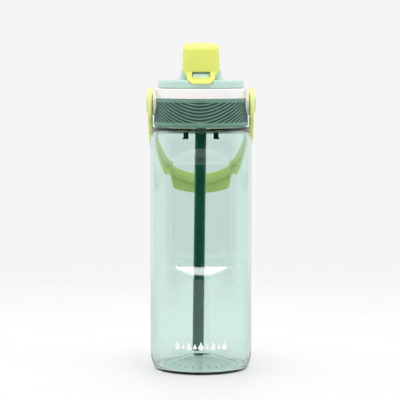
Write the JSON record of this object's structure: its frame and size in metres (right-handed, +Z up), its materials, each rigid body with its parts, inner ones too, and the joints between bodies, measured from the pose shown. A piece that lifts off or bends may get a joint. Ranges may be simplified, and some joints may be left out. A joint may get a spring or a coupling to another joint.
{
  "type": "water bottle",
  "caption": "Tall clear kids water bottle with a screw lid, flip cap over a straw spout, grip sleeve and swinging carry handle.",
  "frame": {"origin": "centre of the foot ring, on the surface the bottle stands on", "axes": "+Z up along the bottle's axis; the front, with the cap's thumb lip, faces -Y; +X is to the right seen from the front"},
  "size_m": [0.0786, 0.0906, 0.236],
  "materials": {
    "clear_bottle": "clear mint-tinted copolyester, polished mould",
    "white_shell": "moulded polypropylene, fine satin",
    "green_sleeve": "soft-touch elastomer with raised wave ribs",
    "mint_cover": "moulded, satin",
    "lime_cap": "moulded, satin",
    "lime_handle": "moulded, satin",
    "grey_pin": "moulded, satin",
    "steel_pin": "drawn stainless wire",
    "silicone": "moulded silicone",
    "dark_seal": "moulded silicone",
    "white_liner": "moulded",
    "dark_carrier": "moulded, matt",
    "green_straw": "extruded tube"
  },
  "bodies": {
    "bottle": {"bottle_body": "clear_bottle"},
    "gasket_ring": {"neck_gasket": "silicone"},
    "seal_ring": {"carrier_seal": "dark_seal"},
    "lid": {"lid_shell": "white_shell", "grip_sleeve": "green_sleeve", "lid_cover": "mint_cover", "cover_seal": "dark_seal", "cap_hinge_pin": "steel_pin", "mouthpiece": "silicone", "mouthpiece_ring": "mint_cover", "straw_carrier": "dark_carrier", "vent_valve": "silicone", "straw_connector": "silicone", "straw": "green_straw", "left_pivot_pin": "grey_pin", "right_pivot_pin": "grey_pin"},
    "cap": {"flip_cap": "lime_cap", "cap_liner": "white_liner", "cap_plug": "silicone"},
    "handle": {"carry_handle": "lime_handle"}
  },
  "joints": [
    {"name": "lid_lift_off", "type": "slide", "parent": "bottle", "child": "gasket_ring", "axis": [0, 0, 1], "range_m": [0, 0.19]},
    {"name": "lid_rise", "type": "slide", "parent": "gasket_ring", "child": "seal_ring", "axis": [0, 0, 1], "range_m": [0, 0.00487]},
    {"name": "lid_unscrew", "type": "hinge", "parent": "seal_ring", "child": "lid", "pos_m": [0, 0, 0.185], "axis": [0, 0, 1], "range_deg": [0, 390]},
    {"name": "flip_cap_hinge", "type": "hinge", "parent": "lid", "child": "cap", "pos_m": [0, 0.018, 0.213], "axis": [-1, 0, 0], "range_deg": [0, 115]},
    {"name": "handle_swing", "type": "hinge", "parent": "lid", "child": "handle", "pos_m": [0, 0, 0.1915], "axis": [1, 0, 0], "range_deg": [0, 285]}
  ],
  "couplings": [
    {"joint": "lid_unscrew", "follows": "lid_rise", "rad_per_m": 1396.3}
  ]
}
